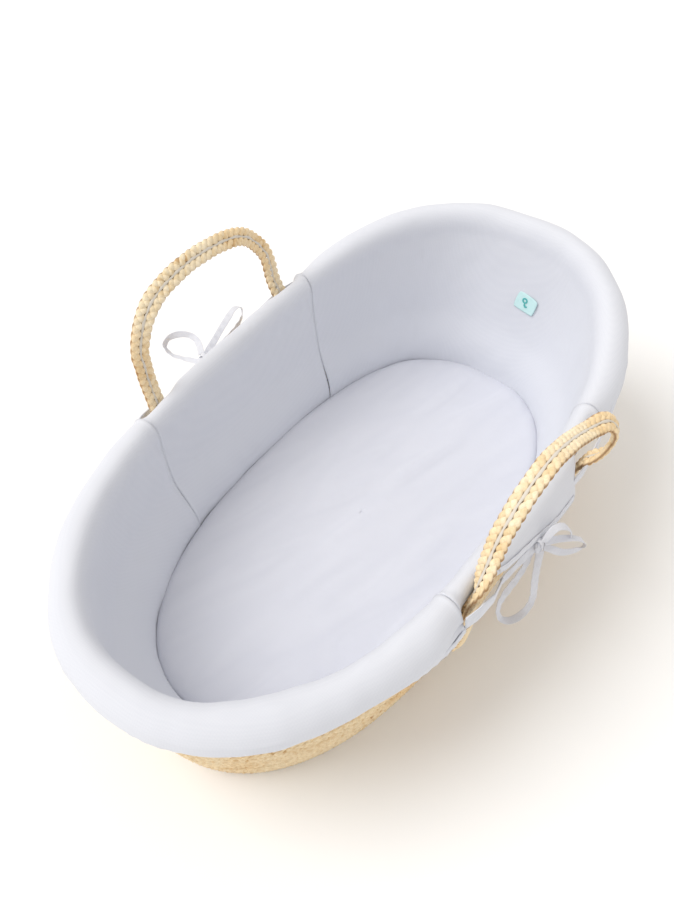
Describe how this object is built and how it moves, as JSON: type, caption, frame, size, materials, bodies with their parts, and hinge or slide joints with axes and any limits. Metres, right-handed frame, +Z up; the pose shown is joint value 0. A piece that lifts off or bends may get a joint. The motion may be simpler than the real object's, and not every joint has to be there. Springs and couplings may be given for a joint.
{
  "type": "moses basket",
  "caption": "Oval palm-braid baby basket with a raised head end, padded cotton liner folded over the rim, two strap handles, tied bows and a mattress in a fitted sheet.",
  "frame": {"origin": "on the floor under the middle of the padded rim; the flat underside of the basket is at z = 0", "axes": "+X to the raised head end, +Y to the far long side, +Z up"},
  "size_m": [0.8378, 0.6044, 0.3589],
  "materials": {
    "palm_braid": "coiled and stitched palm braid, matt with a soft sheen",
    "handle_braid": "plaited palm leaf, matt with a soft sheen",
    "cotton_cord": "twisted cotton",
    "liner_cotton": "padded plain-weave cotton jersey, pale lilac grey",
    "sheet_cotton": "plain cotton jersey, pale lilac grey",
    "wadding": "loose polyester filling",
    "foam": "open foam",
    "label": "pale aqua satin ribbon",
    "thread": "sewing thread"
  },
  "bodies": {
    "basket": {"border_braid": "palm_braid", "far_bow_tail": "liner_cotton", "far_flap": "liner_cotton", "far_flap_hem": "liner_cotton", "far_handle_tail_foot": "handle_braid", "far_handle_tail_head": "handle_braid", "far_knot": "liner_cotton", "far_loop_low": "liner_cotton", "far_loop_side": "liner_cotton", "far_panel": "liner_cotton", "far_rim_wadding": "wadding", "far_skirt_tail_foot": "liner_cotton", "far_skirt_tail_head": "liner_cotton", "far_tie_foot": "liner_cotton", "far_tie_head": "liner_cotton", "foot_panel": "liner_cotton", "foot_rim_wadding": "wadding", "foot_skirt_hem": "liner_cotton", "handle_lashings": "handle_braid", "head_panel": "liner_cotton", "head_rim_wadding": "wadding", "head_skirt_hem": "liner_cotton", "near_bow_tail": "liner_cotton", "near_flap": "liner_cotton", "near_flap_hem": "liner_cotton", "near_handle_tail_foot": "handle_braid", "near_handle_tail_head": "handle_braid", "near_knot": "liner_cotton", "near_loop_low": "liner_cotton", "near_loop_side": "liner_cotton", "near_panel": "liner_cotton", "near_rim_wadding": "wadding", "near_skirt_tail_foot": "liner_cotton", "near_skirt_tail_head": "liner_cotton", "near_tie_foot": "liner_cotton", "near_tie_head": "liner_cotton", "seam_threads": "thread", "sewn_label": "label", "woven_base": "palm_braid", "woven_wall": "palm_braid"},
    "mattress": {"mattress_core": "foam", "fitted_sheet": "sheet_cotton"},
    "near_handle": {"near_handle_cord": "cotton_cord", "near_handle_inner_braid": "handle_braid", "near_handle_outer_braid": "handle_braid"},
    "far_handle": {"far_handle_cord": "cotton_cord", "far_handle_inner_braid": "handle_braid", "far_handle_outer_braid": "handle_braid"}
  },
  "joints": [
    {"name": "near_handle_swing", "type": "hinge", "parent": "basket", "child": "near_handle", "pos_m": [0.01, -0.22, 0.256], "axis": [1, 0, 0], "range_deg": [-60, 80]},
    {"name": "far_handle_swing", "type": "hinge", "parent": "basket", "child": "far_handle", "pos_m": [0.019, 0.246, 0.256], "axis": [-1, 0, 0], "range_deg": [-60, 85]},
    {"name": "mattress_lift", "type": "slide", "parent": "basket", "child": "mattress", "axis": [0, 0, 1], "range_m": [0, 0.2]}
  ]
}
